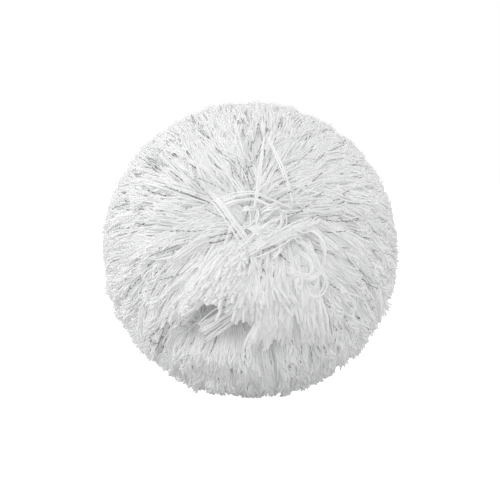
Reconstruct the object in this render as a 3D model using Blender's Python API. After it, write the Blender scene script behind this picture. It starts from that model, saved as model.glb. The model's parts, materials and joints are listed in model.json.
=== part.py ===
"""Hand-held cheer pom pom of cut yarn.

Twelve yarn hanks and twelve bunches of silver thread run through one waist, where a
wound binding cord holds them. Outside the waist they open into a ball. Five short
tufts come out of the middle of the front and lie over the lower part of it. At the
back an anchor cord, held by the same binding, carries an elastic finger loop.

The tie axis is Y and the front faces -Y. The ball rests on a small flat at z = 0.
"""

import math

import bmesh
import bpy
from mathutils import Matrix, Vector

MM = 0.001

# Ball
BALL_RADIUS = 100 * MM
REST_DEPTH = 3 * MM  # how much the rest flat takes off the ball
SECTORS = 12
SECTOR_ANGLE = 2 * math.pi / SECTORS
SECTOR_STEPS = 3
SPREAD = 3.1 * MM  # each sector stands out from the axis by this much
ARC_STEP = math.radians(11)
SLIT = 0.6 * MM  # between the front and back halves
FIT_GAP = 0.4 * MM

# Front of the ball
HUB_ANGLE = math.radians(5.5)  # half angle of the parting, seen from the middle
HUB_DEPTH = 18 * MM
TUFT_THICKNESS = 8.5 * MM
TUFT_ANGLE = math.radians(50)  # how far a short tuft reaches from the parting
TUFT_TIP_ANGLE = math.radians(3)
TUFT_SECTORS = (7, 8, 9, 10, 11)  # the lower ones, sector 0 at +X
TUFT_EDGE_GAP = math.radians(0.4)  # clear of the hank's step at the tuft's end
TUFT_HUB_GAP = math.radians(0.2)
STEM_RADIUS = 3.8 * MM
STEM_SETBACK = 1 * MM  # from the back wall of the waist

# Waist and the space around it for the binding
WAIST_RADIUS = 14 * MM
WAIST_HALF = 7 * MM
CHAMBER_RADIUS = 30 * MM
AXIS_HOLE = 0.6 * MM

# Hand pocket in the back
POCKET_FLOOR = 14 * MM
POCKET_RADIUS = 30 * MM
MOUTH_RADIUS = 42 * MM
POCKET_CHAMFER = 6 * MM

# Silver thread
TINSEL_THICKNESS = 0.8 * MM
TINSEL_SETBACK = 1.5 * MM
TINSEL_AXIS_HOLE = 4.5 * MM

# Binding cord
CORD_RADIUS = 1.0 * MM
CORD_TURNS = 5
CORD_PITCH = 2.3 * MM
CORD_TURN_POINTS = 24
CORD_SIDES_LEVEL = 2
BINDING_RADIUS = 18.6 * MM
KNOT_SCALE = 1.35 * MM
KNOT_RADIUS_FROM_AXIS = 23.8 * MM
KNOT_OPENING = 0.45  # half of the loop's parameter left open for the tails
KNOT_POINTS = 44
KNOT_TAIL = ((1.0, -2.75), (1.15, -3.5), (1.5, -4.3))  # in knot scales

# Anchor cord, a U whose straight run is the finger loop's hinge
ANCHOR_RADIUS = 1.3 * MM
ANCHOR_HALF_WIDTH = 15.4 * MM
ANCHOR_BEND = 2.0 * MM
ANCHOR_BEND_POINTS = 5
STOPPER_Y = -10.2 * MM
STOPPER_RADIUS = 2.3 * MM
STOPPER_HALF_LENGTH = 2.2 * MM
STOPPER_RINGS = 6
STOPPER_SWELL = (0.12, 0.88)  # the stretch of a half wave that rounds a stopper
STOPPER_SHOULDER = 1 * MM
CHANNEL_HALF = 1.7 * MM
CHANNEL_REACH = 3 * MM  # past the cord's middle, away from the axis
CHANNEL_START = -13.4 * MM
LEG_CHANNEL_END = 16 * MM
STOPPER_CHANNEL_END = -6 * MM

# Finger loop
HINGE_Y = 20 * MM  # from the tie plane
WEB_THICKNESS = 1.6 * MM
WEB_HALF_WIDTH = 10 * MM
EYE_RADIUS = 1.8 * MM
EYE_SIDES = 20
NECK_HALF = 1.75 * MM
NECK_LENGTH = 11 * MM
LOOP_LENGTH = 40 * MM
LOOP_HALF_HEIGHT = 14 * MM
LOOP_POINTS = 48
EYE_POINTS = 7  # on each half of the eye's outer edge
TEARDROP_PEAK = 0.7698  # highest value of sin(u) * sin(u / 2)

# Bar tacks
THREAD_RADIUS = 0.3 * MM
TACK_START = 5.2 * MM
TACK_PITCH = 1.0 * MM
TACK_ZIGZAGS = 6
TACK_HALF_WIDTH = 8 * MM
TACK_STANDOFF = 0.3 * MM

SECTOR_RADIUS = BALL_RADIUS - SPREAD
MOUTH_ANGLE = math.asin((MOUTH_RADIUS - SPREAD) / SECTOR_RADIUS)
FRONT_REACH = SECTOR_RADIUS * math.cos(TUFT_TIP_ANGLE)
BACK_REACH = SECTOR_RADIUS * math.cos(MOUTH_ANGLE)
# the ball's middle, which puts the origin under the middle of the bounding box
CENTRE = Vector((0, (FRONT_REACH - BACK_REACH) / 2, BALL_RADIUS - REST_DEPTH))
HINGE = CENTRE + Vector((0, HINGE_Y, 0))

YARN_WHITE = (0.86, 0.87, 0.88, 1)
CORD_WHITE = (0.80, 0.80, 0.79, 1)
WEB_WHITE = (0.83, 0.83, 0.82, 1)
THREAD_GREY = (0.70, 0.71, 0.72, 1)
SILVER = (0.62, 0.63, 0.65, 1)


def clear_scene():
    for obj in list(bpy.data.objects):
        bpy.data.objects.remove(obj, do_unlink=True)


def new_collection(name):
    collection = bpy.data.collections.new(name)
    bpy.context.scene.collection.children.link(collection)
    return collection


def material(name, colour, roughness, metallic=0.0):
    mat = bpy.data.materials.new(name)
    mat.use_nodes = True
    shader = mat.node_tree.nodes["Principled BSDF"]
    shader.inputs["Base Color"].default_value = colour
    shader.inputs["Roughness"].default_value = roughness
    shader.inputs["Metallic"].default_value = metallic
    mat.diffuse_color = colour
    return mat


def add_object(name, data, collection, mat=None):
    obj = bpy.data.objects.new(name, data)
    collection.objects.link(obj)
    if mat is not None:
        data.materials.append(mat)
    return obj


def turned(angle):
    """Rotation about the tie axis that takes +X up towards +Z."""
    return Matrix.Rotation(-angle, 4, "Y")


def arc(radius, start, end):
    """Points (r, y) on a circle; the angle is from the front, -Y."""
    steps = max(2, math.ceil(abs(end - start) / ARC_STEP))
    angles = [start + (end - start) * i / steps for i in range(steps + 1)]
    return [(radius * math.sin(a), -radius * math.cos(a)) for a in angles]


def bundle_profile(outer, axis_hole, waist, grow, tufted=False):
    """Half section of a bundle of strands: front lobe, waist and back lobe.

    grow widens the empty spaces, for a bundle that is set back inside its neighbours.
    """
    half_slit = SLIT / 2 + grow
    chamber = CHAMBER_RADIUS + grow
    wall = WAIST_HALF + grow
    front = []
    if tufted:
        dish = outer - TUFT_THICKNESS
        front += arc(dish, HUB_ANGLE, TUFT_ANGLE)
        front += arc(outer, TUFT_ANGLE, math.pi / 2)
    else:
        front += arc(outer, HUB_ANGLE, math.pi / 2)
    front[-1] = (outer, -half_slit)
    around_waist = [
        (chamber, -half_slit),
        (chamber, -wall),
        (waist, -wall),
        (waist, wall),
        (chamber, wall),
        (chamber, half_slit),
    ]
    mouth = math.asin((MOUTH_RADIUS + grow - SPREAD) / outer)
    back = arc(outer, math.pi / 2, math.pi - mouth)
    back[0] = (outer, half_slit)
    pocket = [
        (POCKET_RADIUS + grow - SPREAD, POCKET_FLOOR + POCKET_CHAMFER),
        (POCKET_RADIUS + grow - SPREAD - POCKET_CHAMFER, POCKET_FLOOR - grow),
        (axis_hole, POCKET_FLOOR - grow),
    ]
    hub = [(axis_hole, -(SECTOR_RADIUS - HUB_DEPTH) + grow)]
    return hub + front + around_waist + back + pocket


def tuft_profile():
    """Half section of a short tuft: a stem along the axis that folds over the front."""
    dish = SECTOR_RADIUS - TUFT_THICKNESS + FIT_GAP
    stem_end = WAIST_HALF - STEM_SETBACK
    hub_y = -(SECTOR_RADIUS - HUB_DEPTH) - FIT_GAP
    tip = TUFT_ANGLE - TUFT_EDGE_GAP
    return (
        [(AXIS_HOLE, stem_end)]
        + arc(SECTOR_RADIUS, TUFT_TIP_ANGLE, tip)
        + arc(dish, tip, HUB_ANGLE - TUFT_HUB_GAP)
        + [(STEM_RADIUS, hub_y), (STEM_RADIUS, stem_end)]
    )


def spun_sector(name, profile, sector, collection, mat):
    """The profile turned through one sector about the tie axis, then moved out."""
    mesh = bmesh.new()
    start = turned(-SECTOR_ANGLE / 2)
    verts = [mesh.verts.new(start @ Vector((r, y, 0))) for r, y in profile]
    face = mesh.faces.new(verts)
    bmesh.ops.spin(
        mesh,
        geom=[face] + face.edges[:] + face.verts[:],
        cent=(0, 0, 0),
        axis=(0, -1, 0),
        angle=SECTOR_ANGLE,
        steps=SECTOR_STEPS,
    )
    bmesh.ops.translate(mesh, verts=mesh.verts, vec=(SPREAD, 0, 0))
    bmesh.ops.transform(mesh, verts=mesh.verts, matrix=turned(sector * SECTOR_ANGLE))
    cut_at_rest_plane(mesh)
    bmesh.ops.recalc_face_normals(mesh, faces=mesh.faces)
    data = bpy.data.meshes.new(name)
    mesh.to_mesh(data)
    mesh.free()
    obj = add_object(name, data, collection, mat)
    obj.location = CENTRE
    return obj


def cut_at_rest_plane(mesh):
    """Take off whatever is below the surface that the ball rests on."""
    floor = Vector((0, 0, -CENTRE.z))
    if min(v.co.z for v in mesh.verts) >= floor.z:
        return
    result = bmesh.ops.bisect_plane(
        mesh,
        geom=mesh.verts[:] + mesh.edges[:] + mesh.faces[:],
        plane_co=floor,
        plane_no=(0, 0, -1),
        clear_outer=True,
    )
    rim = [g for g in result["geom_cut"] if isinstance(g, bmesh.types.BMEdge)]
    bmesh.ops.edgeloop_fill(mesh, edges=rim)


def yarn_hanks(collection, mat):
    hanks = []
    for sector in range(SECTORS):
        tufted = sector in TUFT_SECTORS
        axis_hole = STEM_RADIUS + FIT_GAP if tufted else AXIS_HOLE
        profile = bundle_profile(SECTOR_RADIUS, axis_hole, WAIST_RADIUS, 0, tufted)
        name = f"yarn_hank_{sector + 1:02d}"
        hanks.append(spun_sector(name, profile, sector, collection, mat))
    return hanks


def front_tufts(collection, mat):
    for number, sector in enumerate(TUFT_SECTORS, start=1):
        spun_sector(f"front_tuft_{number}", tuft_profile(), sector, collection, mat)


def tinsel_bunches(collection, mat):
    """Thin fans of silver thread in the gaps between the sectors."""
    profile = bundle_profile(
        SECTOR_RADIUS - TINSEL_SETBACK,
        TINSEL_AXIS_HOLE,
        WAIST_RADIUS + SPREAD - TINSEL_SETBACK,
        TINSEL_SETBACK,
    )
    for sector in range(SECTORS):
        name = f"tinsel_bunch_{sector + 1:02d}"
        mesh = bmesh.new()
        verts = [mesh.verts.new((r, y, -TINSEL_THICKNESS / 2)) for r, y in profile]
        face = mesh.faces.new(verts)
        extruded = bmesh.ops.extrude_face_region(mesh, geom=[face])["geom"]
        moved = [g for g in extruded if isinstance(g, bmesh.types.BMVert)]
        bmesh.ops.translate(mesh, verts=moved, vec=(0, 0, TINSEL_THICKNESS))
        bmesh.ops.recalc_face_normals(mesh, faces=mesh.faces)
        data = bpy.data.meshes.new(name)
        mesh.to_mesh(data)
        mesh.free()
        obj = add_object(name, data, collection, mat)
        obj.location = CENTRE
        obj.rotation_euler = (0, -(sector + 0.5) * SECTOR_ANGLE, 0)


def tube(name, points, radius, collection, mat, widths=None):
    """A round cord along the points, with closed ends."""
    curve = bpy.data.curves.new(name, "CURVE")
    curve.dimensions = "3D"
    curve.bevel_depth = radius
    curve.bevel_resolution = CORD_SIDES_LEVEL
    curve.use_fill_caps = True
    spline = curve.splines.new("POLY")
    spline.points.add(len(points) - 1)
    for i, point in enumerate(points):
        spline.points[i].co = (*point, 1)
        spline.points[i].radius = widths[i] if widths else 1.0
    return add_object(name, curve, collection, mat)


def binding_cord(collection, mat):
    count = CORD_TURNS * CORD_TURN_POINTS
    points = []
    for i in range(count + 1):
        turns = i / CORD_TURN_POINTS
        angle = 2 * math.pi * turns - math.pi / 2
        y = (turns - CORD_TURNS / 2) * CORD_PITCH
        points.append((BINDING_RADIUS * math.cos(angle), y, BINDING_RADIUS * math.sin(angle)))
    tube("binding_cord", points, CORD_RADIUS, collection, mat).location = CENTRE


def binding_knot(collection, mat):
    """An overhand knot with two trimmed tails, outside the lowest turn."""
    start = math.pi + KNOT_OPENING
    sweep = 2 * (math.pi - KNOT_OPENING)
    points = []
    for i in range(KNOT_POINTS + 1):
        t = start + sweep * i / KNOT_POINTS
        across = math.sin(t) + 2 * math.sin(2 * t)
        up = math.cos(t) - 2 * math.cos(2 * t)
        points.append((across, -math.sin(3 * t), up))
    first, last = points[0], points[-1]
    # the ends leave the knot downwards, each on its own side
    left = [(math.copysign(x, first[0]), first[1], z) for x, z in reversed(KNOT_TAIL)]
    right = [(math.copysign(x, last[0]), last[1], z) for x, z in KNOT_TAIL]
    route = [Vector(p) * KNOT_SCALE for p in left + points + right]
    knot = tube("binding_knot", route, CORD_RADIUS, collection, mat)
    knot.location = CENTRE - Vector((0, 0, KNOT_RADIUS_FROM_AXIS))


def anchor_cord(collection, mat):
    """A U of cord with a stopper knot on each end; its cross run is the hinge pin."""
    swell_start, swell_end = STOPPER_SWELL
    points, widths = [], []
    for i in range(STOPPER_RINGS + 1):
        along = i / STOPPER_RINGS
        swell = math.sin(math.pi * (swell_start + (swell_end - swell_start) * along))
        y = STOPPER_Y + (2 * along - 1) * STOPPER_HALF_LENGTH
        points.append((ANCHOR_HALF_WIDTH, y, 0))
        widths.append(swell * STOPPER_RADIUS / ANCHOR_RADIUS)
    for y in (STOPPER_Y + STOPPER_HALF_LENGTH + STOPPER_SHOULDER, 0.0):
        points.append((ANCHOR_HALF_WIDTH, y, 0))
        widths.append(1.0)
    corner = Vector((ANCHOR_HALF_WIDTH - ANCHOR_BEND, HINGE_Y - ANCHOR_BEND, 0))
    for i in range(ANCHOR_BEND_POINTS + 1):
        a = math.pi / 2 * i / ANCHOR_BEND_POINTS
        points.append(corner + ANCHOR_BEND * Vector((math.cos(a), math.sin(a), 0)))
        widths.append(1.0)
    points += [(-x, y, z) for x, y, z in reversed(points)]
    widths += list(reversed(widths))
    cord = tube("anchor_cord", points, ANCHOR_RADIUS, collection, mat, widths)
    cord.location = CENTRE


def anchor_channels(hanks, cutters):
    """Room for the anchor cord's legs and stoppers in the two side hanks."""
    legs = (CHANNEL_START, LEG_CHANNEL_END, CHANNEL_HALF)
    stoppers = (CHANNEL_START, STOPPER_CHANNEL_END, STOPPER_RADIUS + FIT_GAP)
    for sector, sign in ((0, 1), (SECTORS // 2, -1)):
        for kind, (y_low, y_high, half) in (("leg", legs), ("stopper", stoppers)):
            side = "right" if sign > 0 else "left"
            mesh = bmesh.new()
            bmesh.ops.create_cube(mesh, size=1)
            size = (half + CHANNEL_REACH, y_high - y_low, 2 * half)
            bmesh.ops.scale(mesh, verts=mesh.verts, vec=size)
            data = bpy.data.meshes.new(f"{kind}_channel_{side}")
            mesh.to_mesh(data)
            mesh.free()
            cutter = add_object(data.name, data, cutters)
            middle = sign * (ANCHOR_HALF_WIDTH + (CHANNEL_REACH - half) / 2)
            cutter.location = CENTRE + Vector((middle, (y_low + y_high) / 2, 0))
            cutter.hide_render = True
            cutter.display_type = "WIRE"
            boolean = hanks[sector].modifiers.new(kind, "BOOLEAN")
            boolean.operation = "DIFFERENCE"
            boolean.solver = "EXACT"
            boolean.object = cutter


def teardrop(u, offset):
    """A point of the finger loop, moved out from the middle of the webbing by offset."""

    def place(v):
        along = NECK_LENGTH + LOOP_LENGTH * (1 - math.cos(v)) / 2
        across = LOOP_HALF_HEIGHT / TEARDROP_PEAK * math.sin(v) * math.sin(v / 2)
        return Vector((along, across))

    step = 1e-4
    tangent = (place(u + step) - place(u - step)).normalized()
    normal = Vector((-tangent.y, tangent.x))
    return place(u) + normal * offset


def loop_outline():
    """Outer edge of the webbing: eye, stitched neck and teardrop."""
    eye_outer = EYE_RADIUS + WEB_THICKNESS
    neck_meets = math.asin(NECK_HALF / eye_outer)
    upper = []
    for i in range(1, EYE_POINTS + 1):
        a = math.pi - (math.pi - neck_meets) * i / EYE_POINTS
        upper.append((eye_outer * math.cos(a), eye_outer * math.sin(a)))
    for i in range(1, LOOP_POINTS // 2):
        point = teardrop(2 * math.pi * i / LOOP_POINTS, WEB_THICKNESS / 2)
        if point.y > NECK_HALF:
            upper.append(tuple(point))
    end = (NECK_LENGTH + LOOP_LENGTH + WEB_THICKNESS / 2, 0.0)
    lower = [(x, -z) for x, z in reversed(upper)]
    return [(-eye_outer, 0.0)] + upper + [end] + lower


def finger_hole():
    """Inner edge of the webbing's loop."""
    upper = []
    for i in range(1, LOOP_POINTS // 2):
        point = teardrop(2 * math.pi * i / LOOP_POINTS, -WEB_THICKNESS / 2)
        if point.y > SLIT:
            upper.append(tuple(point))
    end = (NECK_LENGTH + LOOP_LENGTH - WEB_THICKNESS / 2, 0.0)
    lower = [(x, -z) for x, z in reversed(upper)]
    return upper + [end] + lower


def circle(radius, count):
    angles = [2 * math.pi * i / count for i in range(count)]
    return [(radius * math.cos(a), radius * math.sin(a)) for a in angles]


def finger_loop(collection, hinge, mat):
    curve = bpy.data.curves.new("finger_loop", "CURVE")
    curve.dimensions = "2D"
    curve.fill_mode = "BOTH"
    curve.extrude = WEB_HALF_WIDTH
    for outline in (loop_outline(), finger_hole(), circle(EYE_RADIUS, EYE_SIDES)):
        spline = curve.splines.new("POLY")
        spline.points.add(len(outline) - 1)
        for point, (along, across) in zip(spline.points, outline):
            point.co = (along, across, 0, 1)
        spline.use_cyclic_u = True
    loop = add_object("finger_loop", curve, collection, mat)
    loop.parent = hinge
    # outline x runs along +Y, outline y up, and the width along X
    loop.matrix_basis = Matrix(((0, 0, 1, 0), (1, 0, 0, 0), (0, 1, 0, 0), (0, 0, 0, 1)))


def bar_tacks(collection, hinge, mat):
    """Zigzag thread across both faces of the neck."""
    for number, side in enumerate((1, -1), start=1):
        height = side * (NECK_HALF + THREAD_RADIUS + TACK_STANDOFF)
        points = []
        for i in range(TACK_ZIGZAGS + 1):
            across = TACK_HALF_WIDTH * (1 if i % 2 else -1)
            points.append((across, TACK_START + i * TACK_PITCH, height))
        tube(f"bar_tack_{number}", points, THREAD_RADIUS, collection, mat).parent = hinge


def build():
    clear_scene()
    parts = new_collection("cheer_pom_pom")
    cutters = new_collection("cutters")
    yarn = material("yarn", YARN_WHITE, 0.9)
    tinsel = material("tinsel", SILVER, 0.25, 1.0)
    cord = material("cord", CORD_WHITE, 0.85)
    webbing = material("webbing", WEB_WHITE, 0.8)
    thread = material("thread", THREAD_GREY, 0.6)

    hanks = yarn_hanks(parts, yarn)
    front_tufts(parts, yarn)
    tinsel_bunches(parts, tinsel)
    binding_cord(parts, cord)
    binding_knot(parts, cord)
    anchor_cord(parts, cord)
    anchor_channels(hanks, cutters)

    hinge = bpy.data.objects.new("finger_loop_hinge", None)
    parts.objects.link(hinge)
    hinge.location = HINGE
    finger_loop(parts, hinge, webbing)
    bar_tacks(parts, hinge, thread)


build()
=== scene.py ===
"""The looks of a white yarn cheer pom pom: real strands, silver threads, cords and webbing.

Every strand is a closed tube that runs from the tie near the ball's middle to a cut tip
on its surface. The ball has a front half and a back half, and strands radiate from the
pole of their half: the parting at the front, the middle of the hand pocket at the back.
The place of a tip is given by theta, the angle from the pole, and alpha, the angle
round it (0 is +X, a quarter turn is up). What the front shows by itself is placed with
seen(x, z) instead: millimetres right of and above the ball's middle, as the camera
sees it.
"""

import json
import math
from collections import namedtuple

import bpy
import numpy as np
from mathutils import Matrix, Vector


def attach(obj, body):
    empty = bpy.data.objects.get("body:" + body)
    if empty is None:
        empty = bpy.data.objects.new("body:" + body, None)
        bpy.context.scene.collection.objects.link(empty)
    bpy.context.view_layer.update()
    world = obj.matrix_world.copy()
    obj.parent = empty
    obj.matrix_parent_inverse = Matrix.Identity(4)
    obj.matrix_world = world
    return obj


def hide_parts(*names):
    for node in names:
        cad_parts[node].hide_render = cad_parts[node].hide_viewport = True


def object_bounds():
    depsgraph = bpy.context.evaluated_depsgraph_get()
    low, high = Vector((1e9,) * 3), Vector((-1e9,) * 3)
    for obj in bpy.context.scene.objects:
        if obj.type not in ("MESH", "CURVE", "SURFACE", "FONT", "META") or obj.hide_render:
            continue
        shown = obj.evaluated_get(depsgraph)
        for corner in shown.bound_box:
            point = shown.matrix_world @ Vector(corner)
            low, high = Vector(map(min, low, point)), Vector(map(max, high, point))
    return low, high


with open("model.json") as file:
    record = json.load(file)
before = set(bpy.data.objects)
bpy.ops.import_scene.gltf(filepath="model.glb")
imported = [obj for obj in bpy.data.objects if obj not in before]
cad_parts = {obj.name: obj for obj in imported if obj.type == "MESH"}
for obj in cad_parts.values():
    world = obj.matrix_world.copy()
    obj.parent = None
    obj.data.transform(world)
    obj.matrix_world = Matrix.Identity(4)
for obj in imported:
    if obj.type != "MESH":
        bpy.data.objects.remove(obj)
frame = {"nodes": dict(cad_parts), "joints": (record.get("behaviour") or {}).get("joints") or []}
cad_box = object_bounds()

rng = np.random.default_rng(20261)

# ------------------------------------------------------------------ driving sizes
MM = 0.001
FRONT, BACK = -1.0, 1.0  # the sign of Y in each half

hinge = Vector(next(j for j in frame["joints"] if j["name"] == "loop_swing")["pos_m"])
TIE = Vector((0, hinge.y - 20 * MM, hinge.z))  # middle of the binding
HANKS = 12
SECTOR = 2 * math.pi / HANKS
BALL = 98.5 * MM  # where most strands end
MIDDLE = Vector((0, TIE.y - 1 * MM, cad_box[0][2] + BALL + 0.5 * MM))
FLOOR_CLEAR = 1.2 * MM
FLOOR_SOFTNESS = 5 * MM

HUB_TILT = math.radians(13)  # the front parting sits this far above the middle
HUB_DIP = 5 * MM
HUB_DIP_ANGLE = math.radians(9)
POLES = {FRONT: (0.0, -math.cos(HUB_TILT), math.sin(HUB_TILT)), BACK: (0.0, 1.0, 0.0)}
POLE_SCATTER = {FRONT: (8 * MM, 4.5 * MM), BACK: (3 * MM, 3 * MM)}

# the way of every strand inside the ball, as ranges of the distance from the tie axis
WAIST_RADII = (2, 15.5)  # mm
WAIST_HALF_LENGTH = 4 * MM
COLUMN_RADII = {FRONT: (4, 20), BACK: (37, 46)}  # mm; the back leaves room for the pocket
COLUMN_DEPTH = {FRONT: 0.45 * BALL, BACK: 0.42 * BALL}  # from the middle plane

# radii of strands
YARN = 0.56 * MM
THATCH_YARN = 0.72 * MM
TUFT_YARN = 1.05 * MM
CORE_YARN = 2.2 * MM
THREAD_RADIUS = 0.3 * MM

# how strands lie in a lock
TIP_SCATTER = 3 * MM  # how unevenly the strands of a lock are cut
TIP_CLOSING = 0.4  # share of a lock's width that is left at its tip
TIP_SPLAY = 1.2 * MM
SHELL_KEYS = 6
POINTS = 11
SIDES = 4
ROOT_SHARE = 0.2  # of a strand's points, for the part inside the ball

# loose fibres
FIBRE = 0.07 * MM  # half of the thickness at the root
FIBRE_LENGTH = (1.0 * MM, 3.2 * MM)
HANK_FIBRES = 22  # on each strand
TUFT_FIBRES = 30

# finger loop, as in the CAD model
EYE = 1.8 * MM
WEB = 1.6 * MM  # thickness
WEB_HALF = 10 * MM
NECK_MIDDLE = 0.95 * MM  # from the neck's middle to the middle of each layer
NECK = 11 * MM
LOOP = 40 * MM
LOOP_HALF = 14 * MM
TEARDROP_PEAK = 0.7698  # highest value of sin(v) * sin(v / 2)
WEB_STEPS = 360
WEB_COLUMNS = 61
RIB = 2 * MM
RIB_RELIEF = 0.16  # share of the thickness
PUCKER = 1.7 * MM
PUCKER_RELIEF = 0.1

# camera
LENS, SENSOR = 85, 36  # mm
ELEVATION = math.radians(4)
SHOWN_RADIUS = 0.59  # of the ball, as a share of half the picture
OUTLINE = 100 * MM  # radius of the ball with its fibres
CAMERA_DISTANCE = OUTLINE / math.sin(math.atan(SHOWN_RADIUS * SENSOR / 2 / LENS))


# ------------------------------------------------------------------ tubes from points
def catmull_rom(keys, count, root_share):
    """A smooth curve through keys (n, k, 3), read at count points. The first two spans,
    inside the ball, get only root_share of the points."""
    n, k, _ = keys.shape
    before = 2 * keys[:, :1] - keys[:, 1:2]
    after = 2 * keys[:, -1:] - keys[:, -2:-1]
    padded = np.concatenate([before, keys, after], 1)
    inside = max(2, round(count * root_share))
    shell = np.linspace(2, k - 1, count - inside)
    s = np.concatenate([np.linspace(0, 2, inside, endpoint=False), shell])
    i = np.minimum(s.astype(int), k - 2)
    t = (s - i)[None, :, None]
    p0, p1, p2, p3 = (padded[:, i + j] for j in range(4))
    square = (2 * p0 - 5 * p1 + 4 * p2 - p3) * t**2
    cube = (3 * p1 - p0 - 3 * p2 + p3) * t**3
    return 0.5 * (2 * p1 + (p2 - p0) * t + square + cube)


def unit(v):
    return v / np.maximum(np.linalg.norm(v, axis=-1, keepdims=True), 1e-12)


def frames_along(points):
    """The direction of each curve (n, m, 3), and two across it that don't twist about it."""
    tangent = unit(np.gradient(points, axis=1))
    first = tangent[:, 0]
    helper = np.where(np.abs(first[:, 2:3]) < 0.8, [[0.0, 0.0, 1.0]], [[1.0, 0.0, 0.0]])
    across = np.empty_like(points)
    across[:, 0] = unit(np.cross(first, helper))
    for j in range(1, points.shape[1]):
        before = across[:, j - 1]
        now = tangent[:, j]
        across[:, j] = unit(before - now * np.sum(before * now, -1, keepdims=True))
    return tangent, across, np.cross(tangent, across)


def mesh_object(name, verts, loops, sizes):
    """A smooth object from arrays: corners, their order face by face, face sizes."""
    mesh = bpy.data.meshes.new(name)
    mesh.vertices.add(len(verts))
    mesh.vertices.foreach_set("co", verts.astype(np.float32).ravel())
    mesh.loops.add(len(loops))
    mesh.loops.foreach_set("vertex_index", loops.astype(np.int32))
    mesh.polygons.add(len(sizes))
    mesh.polygons.foreach_set("loop_start", (np.cumsum(sizes) - sizes).astype(np.int32))
    mesh.update(calc_edges=True)
    mesh.validate()
    mesh.shade_smooth()
    obj = bpy.data.objects.new(name, mesh)
    bpy.context.scene.collection.objects.link(obj)
    return obj


def section_mesh(name, points, radii, sides, flat=1.0, twist=None, blunt=0.5):
    """Closed tubes round the curves (n, m, 3). flat thins the section one way, twist
    (n, m) turns it, and blunt is how far the rounded tip stands out, in radii."""
    n, m, _ = points.shape
    tangent, u, v = frames_along(points)
    if twist is not None:
        c, s = np.cos(twist)[..., None], np.sin(twist)[..., None]
        u, v = c * u + s * v, c * v - s * u
    turn = 2 * np.pi * np.arange(sides) / sides
    wide, thin = np.cos(turn)[:, None], flat * np.sin(turn)[:, None]
    outward = wide * u[:, :, None] + thin * v[:, :, None]
    rings = points[:, :, None] + radii[:, :, None, None] * outward
    tip = points[:, -1] + tangent[:, -1] * radii[:, -1:] * blunt
    tail = points[:, 0]
    per = m * sides + 2
    corners = [rings.reshape(n, m * sides, 3), tail[:, None], tip[:, None]]
    verts = np.concatenate(corners, 1).reshape(-1, 3)

    j = np.arange(m - 1)[:, None] * sides
    a = np.arange(sides)[None, :]
    b = (a + 1) % sides
    quads = np.stack([j + a, j + b, j + sides + b, j + sides + a], -1).reshape(-1, 4)
    last = (m - 1) * sides
    start_cap = np.stack([np.full(sides, m * sides), b[0], a[0]], -1)
    end_cap = np.stack([np.full(sides, m * sides + 1), last + a[0], last + b[0]], -1)
    offset = (np.arange(n) * per)[:, None, None]
    quads = (quads[None] + offset).reshape(-1, 4)
    caps = (np.concatenate([start_cap, end_cap])[None] + offset).reshape(-1, 3)

    loops = np.concatenate([quads.ravel(), caps.ravel()])
    sizes = np.concatenate([np.full(len(quads), 4), np.full(len(caps), 3)])
    return mesh_object(name, verts, loops, sizes)


def fuzz_mesh(name, points, radii, per_strand):
    """Loose fibre ends that stand out of the strands, each a thin closed spike."""
    n, m, _ = points.shape
    tangent, u, v = frames_along(points)
    strand = np.repeat(np.arange(n), per_strand)
    total = len(strand)
    place = rng.uniform(0.3, 1, total) * (m - 1.001)
    j = place.astype(int)
    f = (place - j)[:, None]
    centre = points[strand, j] * (1 - f) + points[strand, j + 1] * f
    around = rng.uniform(0, 2 * np.pi, total)[:, None]
    out = np.cos(around) * u[strand, j] + np.sin(around) * v[strand, j]
    along = tangent[strand, j]
    side = np.cross(along, out)
    base = centre + out * radii[strand, j][:, None] * 0.8
    lean = rng.uniform(0.2, 1.2, (total, 1))
    swing = rng.normal(0, 0.35, (total, 1))
    length = rng.uniform(*FIBRE_LENGTH, (total, 1))
    apex = base + unit(out + lean * along + swing * side) * length
    corners = [base + along * FIBRE]
    corners.append(base - 0.5 * along * FIBRE + 0.87 * side * FIBRE)
    corners.append(base - 0.5 * along * FIBRE - 0.87 * side * FIBRE)
    verts = np.stack(corners + [apex], 1).reshape(-1, 3)
    faces = np.array([[0, 1, 3], [1, 2, 3], [2, 0, 3], [0, 2, 1]])
    faces = (faces[None] + 4 * np.arange(total)[:, None, None]).reshape(-1, 3)
    return mesh_object(name, verts, faces.ravel(), np.full(len(faces), 3))


# ------------------------------------------------------------------ where strands run
def unit_from_angles(theta, alpha, pole):
    """Unit vectors theta away from a pole, alpha round it (0 is +X, a quarter is up)."""
    pole = np.array(pole)
    right = np.array([1.0, 0.0, 0.0])
    up = np.cross(right, pole)
    up = up / np.linalg.norm(up)
    if up[2] < 0:
        up = -up
    theta, alpha = np.asarray(theta)[..., None], np.asarray(alpha)[..., None]
    return np.cos(theta) * pole + np.sin(theta) * (np.cos(alpha) * right + np.sin(alpha) * up)


def seen(x, z):
    """Unit vectors from the ball's middle to the places on its front that the camera
    sees at x, z: millimetres in the plane through the middle."""
    x, z = np.asarray(x, float) * MM, np.asarray(z, float) * MM
    far2 = CAMERA_DISTANCE**2
    total = x**2 + z**2 + far2
    near = (far2 - np.sqrt(np.maximum(far2**2 - total * (far2 - BALL**2), 0))) / total
    x, y, z = x * near / BALL, -CAMERA_DISTANCE * (1 - near) / BALL, z * near / BALL
    c, s = math.cos(ELEVATION), math.sin(ELEVATION)
    return np.stack([x, y * c + z * s, z * c - y * s], -1)


def scattered(pole, number, wide, high):
    """Unit vectors around a pole, spread by wide along X and by high up the surface."""
    pole = np.array(pole)
    up = unit(np.array([0.0, 0.0, 1.0]) - pole * pole[2])
    shift = rng.normal(0, wide / BALL, number)[:, None] * np.array([1.0, 0.0, 0.0])
    return unit(pole + shift + rng.normal(0, high / BALL, number)[:, None] * up)


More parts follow.
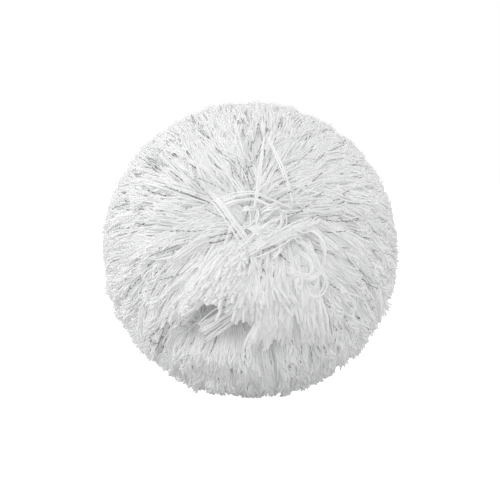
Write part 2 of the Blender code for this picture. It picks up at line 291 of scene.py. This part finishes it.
def flow(tips, poles, sag, lean):
    """Directions along the surface at the tips: away from the poles, pulled down by sag
    and turned by lean. Also returns the directions across them."""
    away = tips * np.sum(tips * poles, -1, keepdims=True) - poles
    down = tips * tips[..., 2:3] - np.array([0.0, 0.0, 1.0])
    along = unit(unit(away) + sag[..., None] * down)
    across = np.cross(tips, along)
    c, s = np.cos(lean)[..., None], np.sin(lean)[..., None]
    return along * c + across * s, across * c - along * s


def settle(points, radius):
    """Presses what would be below the floor up onto it."""
    low = cad_box[0][2] + FLOOR_CLEAR + radius * 0.3
    z = points[..., 2]
    over = (z - low) / FLOOR_SOFTNESS
    pressed = low + FLOOR_SOFTNESS * np.exp(np.minimum(over, 1) - 1)
    points[..., 2] = np.where(over > 1, z, pressed)
    return points


def wobble(points, size, waves):
    """Adds a soft random wander that grows along each strand."""
    n, m, _ = points.shape
    s = np.linspace(0, 1, m)[None, :, None]
    phase = rng.uniform(0, 2 * np.pi, (n, 1, 3))
    rate = rng.uniform(0.6, 1.4, (n, 1, 3)) * waves * 2 * np.pi
    return points + size * np.sin(phase + rate * s) * s * rng.uniform(0.3, 1.0, (n, 1, 3))


# hollows under the ends of the front tufts: x, z as the camera sees them, depth, radius (mm)
HOLLOWS = (
    (-29, -55, 32, 17),
    (-48, -63, 16, 9),
    (-7, -63, 22, 10),
    (15, -71, 20, 9),
    (44, 6, 6, 8),
)


def hollowed(points):
    """Curves (n, m, 3) about the ball's middle, pressed in where the hollows are. Points
    nearer to the middle than half the ball's radius stay."""
    rho = np.linalg.norm(points, axis=-1)
    way = points / rho[..., None]
    depth = 0
    for x, z, deep, radius in HOLLOWS:
        apart = np.arccos(np.clip(way @ seen(x, z), -1, 1)) * BALL / (radius * MM)
        depth = depth + deep * MM * np.exp(-(apart**4))
    near_surface = np.clip(rho / BALL * 2.5 - 1.25, 0, 1)
    return points - way * (depth * near_surface)[..., None]


# what strands() needs of each lock; all but tips and poles are one number for each lock
Locks = namedtuple("Locks", "tips poles length deep lift lean sag bend width")


def strands(locks, half, per_lock, loft, count=POINTS):
    """Centre lines (locks * per_lock, count, 3), about the ball's middle, of strands.

    Each lock ends at its tip (a unit vector) and reaches back along the surface by
    length, away from its pole. It starts deep under the surface and its end stands out
    by lift. Its strands lie side by side over width at the root, close up towards the
    tip and fill a layer that is loft thick either way.
    """
    tips, poles, length, deep, lift, lean, sag, bend, width = locks
    shape = (len(tips), per_lock)
    along, across = flow(tips, poles, sag, lean)
    t = np.linspace(0, 1, SHELL_KEYS)  # 0 at the root, 1 at the tip
    side = rng.uniform(-0.5, 0.5, shape)
    back = rng.normal(0, TIP_SCATTER, shape)
    layer = rng.uniform(-1, 1, shape)
    splay = rng.normal(0, 1, shape)

    run = (length[:, None, None] * (1 - t) + back[:, :, None]) / BALL
    aside = side[:, :, None] * width[:, None, None] * (TIP_CLOSING + (1 - TIP_CLOSING) * (1 - t))
    aside = aside + bend[:, None, None] * np.sin(np.pi * t) + splay[:, :, None] * TIP_SPLAY * t**2
    sunk = np.minimum(lift, 0)[:, None, None]  # a lock that ends below the surface stays below
    risen = (lift[:, None, None] - sunk) * t**3
    rise = sunk + risen - (deep[:, None, None] + sunk) * (1 - t) ** 1.4
    rise = rise + layer[:, :, None] * loft * (1 - 0.35 * t)
    way = tips[:, None, None] * np.cos(run)[..., None] - along[:, None, None] * np.sin(run)[..., None]
    way = unit(way + across[:, None, None] * (aside / BALL)[..., None])
    from_pole = np.arccos(np.clip(np.sum(way * poles[:, None, None], -1), -1, 1))
    rho = BALL + rise - HUB_DIP * np.exp(-((from_pole / HUB_DIP_ANGLE) ** 2))
    shell = (way * rho[..., None]).reshape(-1, SHELL_KEYS, 3)

    n = len(shell)
    leave = np.arctan2(shell[:, 0, 2], shell[:, 0, 0])
    outward = np.stack([np.cos(leave), np.zeros(n), np.sin(leave)], -1)
    waist = outward * rng.uniform(*WAIST_RADII, (n, 1)) * MM
    waist[:, 1] = half * WAIST_HALF_LENGTH
    column = outward * rng.uniform(*COLUMN_RADII[half], (n, 1)) * MM
    column[:, 1] = half * COLUMN_DEPTH[half]
    keys = np.concatenate([waist[:, None], column[:, None], shell], 1)
    return catmull_rom(keys, count, ROOT_SHARE)


# ------------------------------------------------------------------ materials
YARN_TONES = ((0.91, 0.915, 0.92), (0.95, 0.952, 0.955), (0.98, 0.98, 0.98))
# painted glow: the yarn gives off a little light of its own, which stands for the light that real
# fibres scatter among themselves
YARN_PAINTED_GLOW = 0.055
# painted shade: strands are coloured darker towards the inside of the ball, where less light reaches
# them
PAINTED_SHADE_START_DEPTH = 7 * MM
PAINTED_SHADE_FULL_DEPTH = 24 * MM
DEEPEST_PAINTED_SHADE = 0.76


def node_material(name, roughness):
    mat = bpy.data.materials.new(name)
    mat.use_nodes = True
    tree = mat.node_tree
    shader = tree.nodes["Principled BSDF"]
    shader.inputs["Roughness"].default_value = roughness
    return mat, tree, shader


def object_place(tree):
    return tree.nodes.new("ShaderNodeTexCoord").outputs["Object"]


def noise(tree, scale, detail):
    node = tree.nodes.new("ShaderNodeTexNoise")
    node.inputs["Scale"].default_value = scale
    node.inputs["Detail"].default_value = detail
    tree.links.new(object_place(tree), node.inputs["Vector"])
    return node.outputs["Fac"]


def ramp(tree, value, stops):
    node = tree.nodes.new("ShaderNodeValToRGB")
    elements = node.color_ramp.elements
    while len(elements) < len(stops):
        elements.new(0.5)
    for element, (place, colour) in zip(elements, stops):
        element.position = place
        element.color = (*colour, 1)
    tree.links.new(value, node.inputs["Fac"])
    return node.outputs["Color"]


def bump(tree, shader, value, strength, distance):
    node = tree.nodes.new("ShaderNodeBump")
    node.inputs["Strength"].default_value = strength
    node.inputs["Distance"].default_value = distance
    tree.links.new(value, node.inputs["Height"])
    tree.links.new(node.outputs["Normal"], shader.inputs["Normal"])


def painted_depth_shade(tree):
    """Painted shade: a factor for the colour, 1 near the ball's surface and falling deep inside, where
    less light reaches.
    """
    inward = tree.nodes.new("ShaderNodeVectorMath")
    inward.operation = "DISTANCE"
    inward.inputs[1].default_value = MIDDLE
    tree.links.new(object_place(tree), inward.inputs[0])
    level = tree.nodes.new("ShaderNodeMapRange")
    level.inputs["From Min"].default_value = BALL - PAINTED_SHADE_FULL_DEPTH
    level.inputs["From Max"].default_value = BALL - PAINTED_SHADE_START_DEPTH
    level.inputs["To Min"].default_value = DEEPEST_PAINTED_SHADE
    level.inputs["To Max"].default_value = 1.0
    tree.links.new(inward.outputs["Value"], level.inputs["Value"])
    return level.outputs["Result"]


def yarn_material():
    """Fluffy white yarn, each strand in a slightly different white, with painted shade deeper in the
    ball and a faint painted glow.
    """
    mat, tree, shader = node_material("white_yarn", 0.9)
    strand = tree.nodes.new("ShaderNodeNewGeometry").outputs["Random Per Island"]
    colour = ramp(tree, strand, list(zip((0.0, 0.5, 1.0), YARN_TONES)))
    # painted shade: the strand's colour is darkened towards the inside of the ball
    shaded_colour = tree.nodes.new("ShaderNodeVectorMath")
    shaded_colour.operation = "SCALE"
    tree.links.new(colour, shaded_colour.inputs[0])
    tree.links.new(painted_depth_shade(tree), shaded_colour.inputs["Scale"])
    tree.links.new(shaded_colour.outputs["Vector"], shader.inputs["Base Color"])
    shader.inputs["Specular IOR Level"].default_value = 0.2
    shader.inputs["Sheen Weight"].default_value = 0.25
    shader.inputs["Sheen Roughness"].default_value = 0.6
    shader.inputs["Subsurface Weight"].default_value = 0.4
    shader.inputs["Subsurface Radius"].default_value = (1, 1, 1)
    shader.inputs["Subsurface Scale"].default_value = 0.8 * MM
    # painted glow: the strands give off a little white light of their own
    shader.inputs["Emission Color"].default_value = (1, 1, 1, 1)
    shader.inputs["Emission Strength"].default_value = YARN_PAINTED_GLOW
    bump(tree, shader, noise(tree, 2600, 2), 0.5, 0.25 * MM)
    return mat


def tinsel_material():
    """Silver thread with light and dark stretches painted into its colour: painted reflections that
    read as a row of glints.
    """
    mat, tree, shader = node_material("silver_thread", 0.22)
    # painted reflections: dark and light stretches in the metal's colour
    stops = [(0.44, (0.1, 0.102, 0.11)), (0.58, (0.85, 0.86, 0.88))]
    tree.links.new(ramp(tree, noise(tree, 1100, 1), stops), shader.inputs["Base Color"])
    shader.inputs["Metallic"].default_value = 1.0
    return mat


def cord_material(name, light, dark):
    mat, tree, shader = node_material(name, 0.85)
    level = noise(tree, 1200, 2)
    tree.links.new(ramp(tree, level, [(0.35, dark), (0.65, light)]), shader.inputs["Base Color"])
    bump(tree, shader, level, 0.5, 0.2 * MM)
    return mat


def elastic_material():
    """White elastic webbing: a darker stripe along each rib, and a fine weave."""
    mat, tree, shader = node_material("elastic_webbing", 0.8)
    ribs = tree.nodes.new("ShaderNodeTexWave")
    ribs.bands_direction = "X"
    ribs.inputs["Scale"].default_value = 2 * math.pi / (20 * RIB)  # a wave is pi / 10 long at 1
    ribs.inputs["Distortion"].default_value = 0.0
    tree.links.new(object_place(tree), ribs.inputs["Vector"])
    stops = [(0.0, (0.60, 0.60, 0.61)), (0.35, (0.80, 0.80, 0.80)), (1.0, (0.88, 0.88, 0.875))]
    tree.links.new(ramp(tree, ribs.outputs["Fac"], stops), shader.inputs["Base Color"])
    bump(tree, shader, noise(tree, 3500, 1), 0.35, 0.1 * MM)
    return mat


yarn = yarn_material()
silver = tinsel_material()
cord = cord_material("cotton_cord", (0.84, 0.84, 0.82), (0.68, 0.68, 0.66))
elastic = elastic_material()
stitch = cord_material("stitching", (0.74, 0.75, 0.76), (0.55, 0.56, 0.58))


def finish_piece(obj, mat, slot, body, *nodes):
    obj.data.materials.append(mat)
    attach(obj, body)
    if nodes:
        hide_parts(*nodes)


def yarn_pieces(name, points, radii, fibres, *nodes, sides=SIDES):
    """Strands as one piece, in place of CAD nodes if any are named, and the loose fibres
    on them as another."""
    obj = section_mesh(name + "_strands" if nodes else name, points, radii, sides)
    finish_piece(obj, yarn, "yarn", "pom", *nodes)
    obj = fuzz_mesh(name + "_fuzz", points, radii, fibres)
    finish_piece(obj, yarn, "yarn", "pom")


# ------------------------------------------------------------------ hanks
# a kind of lock, in one sector of one half: how many there are, then low and high values
# of the tip's angle from the pole (degrees), length along the surface, depth of the root,
# lift of the tip (mm), lean (degrees), bend and width (mm); then how many strands a lock
# has, their radius, and how thick the layer is that they fill (mm)
Kind = namedtuple("Kind", "number tip length deep lift lean bend width per_lock radius loft")

LONG = Kind(
    number=12, tip=(50, 88), length=(48, 85), deep=(3, 9), lift=(-1, 0.8), lean=(-5, 5),
    bend=(-3, 3), width=(7, 12), per_lock=12, radius=YARN, loft=1.3,
)
MIDDLING = Kind(
    number=22, tip=(30, 86), length=(24, 46), deep=(6, 15), lift=(-0.5, 1.4), lean=(-15, 15),
    bend=(-4, 4), width=(6, 11), per_lock=12, radius=YARN, loft=1.3,
)
SHORT = Kind(
    number=16, tip=(46, 90), length=(12, 24), deep=(9, 16), lift=(-0.5, 1.2), lean=(-20, 20),
    bend=(-2, 2), width=(5, 9), per_lock=12, radius=YARN, loft=1.3,
)
# steep strands along the seam between the halves, whose ends make the ball's outline
BRUSH = Kind(
    number=32, tip=(68, 99), length=(5, 11), deep=(11, 18), lift=(-2, 2.2), lean=(-35, 35),
    bend=(-1, 1), width=(6, 10), per_lock=12, radius=YARN, loft=1.2,
)
# thick short strands low on the front
THATCH = Kind(
    number=26, tip=(44, 90), length=(9, 18), deep=(12, 20), lift=(0, 3), lean=(-24, 24),
    bend=(-2, 2), width=(4, 8), per_lock=11, radius=THATCH_YARN, loft=2.0,
)
# fat strands under the others, so that no gap shows through to the middle
CORE = Kind(
    number=14, tip=(16, 94), length=(30, 70), deep=(9, 12), lift=(-6.5, -5.5), lean=(-8, 8),
    bend=(-2, 2), width=(12, 18), per_lock=5, radius=CORE_YARN, loft=0.8,
)
RIM_CORE = CORE._replace(number=8, tip=(84, 100), length=(20, 40), lift=(-6, -5))

UPPER_KINDS = (CORE, RIM_CORE, LONG, MIDDLING, SHORT, BRUSH)
LOWER_KINDS = (
    CORE,
    RIM_CORE,
    LONG._replace(number=6),
    MIDDLING._replace(number=18),
    THATCH,
    BRUSH,
)
LOWER_SECTORS = (7, 8, 9, 10, 11)
SECTOR_REACH = 0.54  # of a sector's width: locks stray a little over its edges
# no tip is closer to the pole than this (degrees); it keeps the hand pocket open
LOWEST_TIP = {FRONT: 4, BACK: 28}
SAGGING = {FRONT: 1.0, BACK: 0.6}
LEAST_SAG = 0.12  # the photo's strands sag more low down and to the right


def locks_in(sector, half, kind):
    """Centre lines and radii of the strands of one kind of lock whose tips lie in a sector."""
    lowest = LOWEST_TIP[half]
    number = kind.number
    low, high = (math.cos(math.radians(max(a, lowest))) for a in kind.tip)
    theta = np.arccos(rng.uniform(high, low, number))
    alpha = (sector + rng.uniform(-SECTOR_REACH, SECTOR_REACH, number)) * SECTOR
    tips = unit_from_angles(theta, alpha, POLES[half])
    room = BALL * (theta - math.radians(lowest) + math.radians(2))
    low_and_right = np.clip(0.35 - tips[:, 2] + 0.5 * tips[:, 0], 0, 1.2)
    locks = Locks(
        tips=tips,
        poles=scattered(POLES[half], number, *POLE_SCATTER[half]),
        length=np.minimum(rng.uniform(*kind.length, number) * MM, room),
        deep=rng.uniform(*kind.deep, number) * MM,
        lift=rng.uniform(*kind.lift, number) * MM,
        lean=np.radians(rng.uniform(*kind.lean, number)),
        sag=SAGGING[half] * (LEAST_SAG + 0.5 * low_and_right),
        bend=rng.uniform(*kind.bend, number) * MM,
        width=rng.uniform(*kind.width, number) * MM,
    )
    points = strands(locks, half, kind.per_lock, kind.loft * MM)
    if half == FRONT:
        points = hollowed(points)
    points = wobble(points + np.array(MIDDLE), size=1.0 * MM, waves=1.8)
    radii = kind.radius * rng.uniform(0.85, 1.12, (len(points), 1)) * np.ones(POINTS)
    return points, radii


def hank(sector):
    front_kinds = LOWER_KINDS if sector in LOWER_SECTORS else UPPER_KINDS
    parts = [locks_in(sector, FRONT, kind) for kind in front_kinds]
    parts += [locks_in(sector, BACK, kind) for kind in UPPER_KINDS]
    points, radii = (np.concatenate(p) for p in zip(*parts))
    name = f"yarn_hank_{sector + 1:02d}"
    yarn_pieces(name, settle(points, YARN), radii, HANK_FIBRES, name)


for sector in range(HANKS):
    hank(sector)

# ------------------------------------------------------------------ front tufts
# where each tuft leaves the hub and where it ends: x, z as the camera sees them (mm)
TUFTS = (
    ((-7, 4.5), (-38, -35)),
    ((-2, 3.4), (-20, -29)),
    ((5, 2), (-2, -38)),
    ((14, 5), (14, -57)),
    ((29, 9), (40, -54)),
)
TUFT_LOCKS = 20
TUFT_PER_LOCK = 7
TUFT_START_SCATTER = (4, 3)  # mm
TUFT_END_SCATTER = (6.5, 2.8)


def tuft(number, start, end):
    # half of the locks end at the tuft's end, the others on the way there
    part = 1 - 0.55 * rng.uniform(0, 1, TUFT_LOCKS) ** 1.8
    part[: TUFT_LOCKS // 2] = 1
    x, z = (
        a + (b - a) * part + rng.normal(0, scatter, TUFT_LOCKS)
        for a, b, scatter in zip(start, end, TUFT_END_SCATTER)
    )
    tips = seen(x, z)
    x, z = (a + rng.normal(0, scatter, TUFT_LOCKS) for a, scatter in zip(start, TUFT_START_SCATTER))
    poles = seen(x, z)
    away = np.arccos(np.sum(tips * poles, -1))
    locks = Locks(
        tips=tips,
        poles=poles,
        length=BALL * away * rng.uniform(0.6, 1, TUFT_LOCKS),
        deep=rng.uniform(1, 6, TUFT_LOCKS) * MM,
        lift=rng.uniform(2, 7.5, TUFT_LOCKS) * MM,
        lean=np.radians(rng.uniform(-12, 12, TUFT_LOCKS)),
        sag=np.full(TUFT_LOCKS, 0.1),
        bend=rng.uniform(-3, 3, TUFT_LOCKS) * MM,
        width=rng.uniform(6, 10, TUFT_LOCKS) * MM,
    )
    points = strands(locks, FRONT, TUFT_PER_LOCK, 2.2 * MM)
    points = wobble(points + np.array(MIDDLE), size=1.3 * MM, waves=1.8)
    radii = TUFT_YARN * rng.uniform(0.8, 1.1, (len(points), 1)) * np.ones(POINTS)
    name = f"front_tuft_{number}"
    yarn_pieces(name, settle(points, YARN), radii, TUFT_FIBRES, name)


for number, (start, end) in enumerate(TUFTS, start=1):
    tuft(number, start, end)

# ------------------------------------------------------------------ loose strands of the front
# routes of strands that the photo shows by themselves: x and z as the camera sees them,
# and the height over the ball's surface (mm)
RIDGE = ((-4, -3, -3), (5, 3, 2), (17, 9, 3.5), (30, 15, 3), (42, 21, -1))
ARCH = ((-24, 30, -4), (-14, 35, -1), (1, 37, 0), (14, 34, -1), (27, 28, -4))
SLANT = ((-24, 38, -2), (-19, 34, 1), (-9, 20, 3), (1, 5, 0), (3, 0, -4))
BENT = ((3, 24, -2), (6, 42, 1), (8, 60, 2), (10.5, 74, 3), (17, 62, 3), (23, 50, 1.5), (30, 32, -3))
IN_HOLLOW = ((-2, -44, -20), (-13, -49, -14), (-24, -54, -10), (-35, -60, -7))
HOOK = (
    (31, 7, -3),
    (37, 4, 3),
    (42, -4, 5),
    (45.5, -12, 5.5),
    (43, -16, 5.5),
    (37, -18.5, 5),
    (25, -15.5, 0),
)
INNER_HOOK = ((34, 0, -2), (38, -5, 4), (40, -11, 5), (37, -15, 5), (31, -15, 4), (26, -11, -1))
LOWER_CURL = ((43, -8, -1), (47, -13, 4), (49, -20, 5), (46, -28, 5), (42, -30, 4), (36, -26, -1))
SMALL_CURL = ((42, -14, 0), (44.5, -19, 4), (42.5, -24.5, 4), (37, -26, -1))
SWEEP = ((40, 16, -3), (46, 11, 2), (49, 3.5, 4), (50, -4, 3), (50, -12, -2))

CURLY_POINTS = 24
# route, how many strands follow it, how far apart they spread (mm), points on each
LOOSE = (
    (RIDGE, 16, 2.6, POINTS),
    (ARCH, 7, 3.4, POINTS),
    (SLANT, 5, 4.5, POINTS),
    (BENT, 2, 0.8, CURLY_POINTS),
    (IN_HOLLOW, 22, 5.5, POINTS),
    (HOOK, 6, 1.5, CURLY_POINTS),
    (INNER_HOOK, 3, 1.2, CURLY_POINTS),
    (LOWER_CURL, 3, 1.0, CURLY_POINTS),
    (SMALL_CURL, 2, 0.8, CURLY_POINTS),
    (SWEEP, 3, 1.2, CURLY_POINTS),
)
LOOSE_SIDES = 6
LOOSE_FIBRES = 30
LOOSE_ROOT_SHARE = 0.3
ARCHES = 46  # short low arches that cover the ridge and the parting


def laid(route, copies, spread, count):
    """Strands side by side along a route, each a little off it."""
    route = np.array(route, float)
    keys = np.repeat(route[None], copies, 0)
    tangent = unit(np.gradient(route[:, :2], axis=0))
    beside = rng.normal(0, spread, (copies, 1)) * (0.6 + 0.4 * rng.uniform(0, 1, (copies, len(route))))
    keys[:, :, 0] -= tangent[:, 1] * beside
    keys[:, :, 1] += tangent[:, 0] * beside
    keys[:, :, :2] += rng.normal(0, 0.5, keys[:, :, :2].shape)
    keys[:, :, 2] += rng.normal(0, 0.6, (copies, 1))
    rho = BALL + keys[:, :, 2:3] * MM
    curves = catmull_rom(seen(keys[:, :, 0], keys[:, :, 1]) * rho, count, LOOSE_ROOT_SHARE)
    return curves + np.array(MIDDLE)


def small_arch():
    x, z = 15 + rng.normal(0, 10), 14 + rng.normal(0, 6)
    tilt = math.radians(rng.normal(25, 38))
    reach, high = rng.uniform(5, 9), rng.uniform(0.5, 3.2)
    dx, dz = reach * math.cos(tilt), reach * math.sin(tilt)
    shape = ((-1, -2), (-0.5, high - 1), (0, high), (0.5, high - 1), (1, -2))
    return [(x + share * dx, z + share * dz, height) for share, height in shape]


def loose_strands():
    groups = [laid(*row) for row in LOOSE]
    groups += [laid(small_arch(), 4, 1.5, POINTS) for _ in range(ARCHES)]
    pairs = []
    for points in groups:
        widths = rng.uniform(0.75, 1.05, (len(points), 1))
        pairs.append((points, YARN * widths * np.ones(points.shape[1])))
    for count in (POINTS, CURLY_POINTS):
        chosen = [pair for pair in pairs if pair[0].shape[1] == count]
        points, radii = (np.concatenate(p) for p in zip(*chosen))
        yarn_pieces(f"loose_front_strands_{count}", points, radii, LOOSE_FIBRES, sides=LOOSE_SIDES)


loose_strands()

# ------------------------------------------------------------------ silver threads
THREADS = 16  # of one bunch, in each half
THREAD_POINTS = 26
THREAD_TIPS = {FRONT: (14, 73), BACK: (40, 73)}  # angles from the pole (degrees)
THREAD_POLE_GAP = 12  # degrees between the nearest tip and the highest root
THREAD_FLATNESS = 0.3


def threads_in(number, half):
    nearest, farthest = THREAD_TIPS[half]
    low, high = math.cos(math.radians(nearest)), math.cos(math.radians(farthest))
    theta = np.arccos(rng.uniform(high, low, THREADS))
    alpha = (number - 0.5 + rng.uniform(-0.5, 0.5, THREADS)) * SECTOR
    room = BALL * (theta - math.radians(nearest - THREAD_POLE_GAP))
    locks = Locks(
        tips=unit_from_angles(theta, alpha, POLES[half]),
        poles=scattered(POLES[half], THREADS, *POLE_SCATTER[BACK]),
        length=np.minimum(rng.uniform(12, 30, THREADS) * MM, room),
        deep=rng.uniform(2, 7, THREADS) * MM,
        lift=rng.uniform(1.2, 3.0, THREADS) * MM,
        lean=np.radians(rng.uniform(-18, 18, THREADS)),
        sag=np.full(THREADS, 0.1),
        bend=rng.uniform(-1, 1, THREADS) * MM,
        width=np.zeros(THREADS),
    )
    points = strands(locks, half, 1, 0, THREAD_POINTS)
    return hollowed(points) if half == FRONT else points


def tinsel(number):
    parts = [threads_in(number, half) for half in (FRONT, BACK)]
    points = np.concatenate(parts) + np.array(MIDDLE)
    points = settle(wobble(points, size=0.2 * MM, waves=1.5), THREAD_RADIUS)
    n, m, _ = points.shape
    twist = rng.uniform(0, 6, (n, 1)) + np.linspace(0, 1, m) * rng.uniform(20, 60, (n, 1))
    name = f"tinsel_bunch_{number:02d}"
    radii = np.full((n, m), THREAD_RADIUS)
    obj = section_mesh(
        name + "_threads", points, radii, SIDES, flat=THREAD_FLATNESS, twist=twist, blunt=0.1
    )
    finish_piece(obj, silver, "tinsel", "pom", name)


for number in range(1, HANKS + 1):
    tinsel(number)


# ------------------------------------------------------------------ finger loop
def webbing_route():
    """Middle line of the webbing, (along Y, up) from the hinge: eye, neck and teardrop.
    Also how far along it each point is."""
    eye_middle = EYE + WEB / 2
    meets = math.asin(NECK_MIDDLE / eye_middle)
    a = np.linspace(meets, 2 * math.pi - meets, 60)[:, None]
    eye = eye_middle * np.concatenate([np.cos(a), np.sin(a)], 1)
    v = np.linspace(0, 2 * math.pi, 400)
    loop_along = NECK + LOOP * (1 - np.cos(v)) / 2
    loop_up = LOOP_HALF / TEARDROP_PEAK * np.sin(v) * np.sin(v / 2)
    teardrop = np.stack([loop_along, loop_up], 1)
    outside = np.abs(teardrop[:, 1]) > NECK_MIDDLE
    tail = v > math.pi
    upper = teardrop[outside & ~tail]
    lower = teardrop[outside & tail]
    closed = np.concatenate([lower, eye[::-1], upper, lower[:1]])
    step = np.concatenate([[0], np.cumsum(np.linalg.norm(np.diff(closed, axis=0), axis=1))])
    at = np.linspace(0, step[-1], WEB_STEPS, endpoint=False)
    route = np.stack([np.interp(at, step, closed[:, 0]), np.interp(at, step, closed[:, 1])], 1)
    for _ in range(3):  # rounds the corners where the neck meets the eye and the teardrop
        route = (np.roll(route, 1, 0) + 2 * route + np.roll(route, -1, 0)) / 4
    return route, at


def webbing_piece():
    """Elastic webbing with lengthwise ribs and the small puckers between its rubber cores."""
    route, at = webbing_route()
    tangent = unit(np.roll(route, -1, 0) - np.roll(route, 1, 0))
    normal = np.stack([-tangent[:, 1], tangent[:, 0]], 1)
    w = np.linspace(-WEB_HALF, WEB_HALF, WEB_COLUMNS)
    past_flat = (np.abs(w) - WEB_HALF + WEB / 2) / (WEB / 2)
    edge = np.sqrt(1 - np.clip(past_flat, 0, 0.97) ** 2)
    ribs = 1 - RIB_RELIEF + RIB_RELIEF * np.abs(np.cos(math.pi * w / RIB))
    side = WEB / 2 * edge * ribs
    across = np.concatenate([w, w[::-1]])
    thick = np.concatenate([side, -side[::-1]])
    wave = 2 * math.pi * at[:, None] / PUCKER + math.pi * (across / RIB).round()
    high = thick[None] * (1 - PUCKER_RELIEF * (0.5 + 0.5 * np.cos(wave)))
    y = hinge.y + route[:, :1] + normal[:, :1] * high
    z = hinge.z + route[:, 1:] + normal[:, 1:] * high
    verts = np.stack([np.broadcast_to(across, y.shape), y, z], -1).reshape(-1, 3)
    n, k = y.shape
    i, j = np.arange(n)[:, None], np.arange(k)[None]
    i2, j2 = (i + 1) % n, (j + 1) % k
    quads = np.stack([i * k + j, i2 * k + j, i2 * k + j2, i * k + j2], -1).reshape(-1, 4)
    obj = mesh_object("elastic_finger_loop", verts, quads.ravel(), np.full(len(quads), 4))
    finish_piece(obj, elastic, "webbing", "loop", "finger_loop")


webbing_piece()

# ------------------------------------------------------------------ CAD nodes that stay
KEPT_NODES = {
    "binding_cord": cord,
    "binding_knot": cord,
    "anchor_cord": cord,
    "bar_tack_1": stitch,
    "bar_tack_2": stitch,
}
for node, mat in KEPT_NODES.items():
    for material_slot in frame["nodes"][node].material_slots:
        material_slot.material = mat

# ------------------------------------------------------------------ stage
AMBIENT = 0.88
LAMP_RADIUS = 2
LAMP_HEIGHT = 0.8
LAMP_SIZE = 1.4
# name, azimuth (degrees, 0 is behind the ball and 90 to its right), watts
LAMPS = (("front", 180, 3), ("left", 260, 10), ("back", 0, 3), ("right", 80, 3))


def pale_floor():
    """A floor that looks white to the camera and throws some light back up."""
    bpy.ops.mesh.primitive_plane_add(size=20, location=(0, 0, cad_box[0][2]))
    floor = bpy.context.object
    floor.name = "floor"
    mat, tree, shader = node_material("pale_floor", 1.0)
    shader.inputs["Base Color"].default_value = (0.65, 0.65, 0.65, 1)
    shader.inputs["Emission Color"].default_value = (1, 1, 1, 1)
    rays = tree.nodes.new("ShaderNodeLightPath")
    tree.links.new(rays.outputs["Is Camera Ray"], shader.inputs["Emission Strength"])
    floor.data.materials.append(mat)


def white_world():
    """Even light from everywhere; plain white behind the ball."""
    world = bpy.data.worlds.new("studio")
    bpy.context.scene.world = world
    world.use_nodes = True
    tree = world.node_tree
    light = tree.nodes["Background"]
    light.inputs["Color"].default_value = (1, 1, 1, 1)
    light.inputs["Strength"].default_value = AMBIENT
    backdrop = tree.nodes.new("ShaderNodeBackground")
    backdrop.inputs["Color"].default_value = (1, 1, 1, 1)
    backdrop.inputs["Strength"].default_value = 1.0
    rays = tree.nodes.new("ShaderNodeLightPath")
    either = tree.nodes.new("ShaderNodeMixShader")
    tree.links.new(rays.outputs["Is Camera Ray"], either.inputs["Fac"])
    tree.links.new(light.outputs["Background"], either.inputs[1])
    tree.links.new(backdrop.outputs["Background"], either.inputs[2])
    tree.links.new(either.outputs["Shader"], tree.nodes["World Output"].inputs["Surface"])


def add_aimed(obj, place, target):
    """Puts a lamp or the camera in the scene, looking at the target."""
    obj.location = place
    obj.rotation_euler = (Vector(target) - Vector(place)).to_track_quat("-Z", "Y").to_euler()
    bpy.context.scene.collection.objects.link(obj)


def lamp(name, azimuth, watts):
    light = bpy.data.lights.new(name, "AREA")
    light.shape = "DISK"
    light.size = LAMP_SIZE
    light.energy = watts
    a = math.radians(azimuth)
    place = (LAMP_RADIUS * math.sin(a), LAMP_RADIUS * math.cos(a), LAMP_HEIGHT)
    add_aimed(bpy.data.objects.new(name, light), place, MIDDLE)


def camera():
    data = bpy.data.cameras.new("camera")
    data.lens = LENS
    data.sensor_width = SENSOR
    obj = bpy.data.objects.new("camera", data)
    target = Vector((MIDDLE.x, MIDDLE.y, cad_box[0][2] + OUTLINE - 0.5 * MM))
    towards = Vector((0, -math.cos(ELEVATION), math.sin(ELEVATION)))
    add_aimed(obj, target + CAMERA_DISTANCE * towards, target)
    bpy.context.scene.camera = obj


pale_floor()
white_world()
for row in LAMPS:
    lamp(*row)
camera()
bpy.context.scene.view_settings.view_transform = "Standard"
bpy.context.scene.cycles.diffuse_bounces = 12  # white yarn passes light on many times
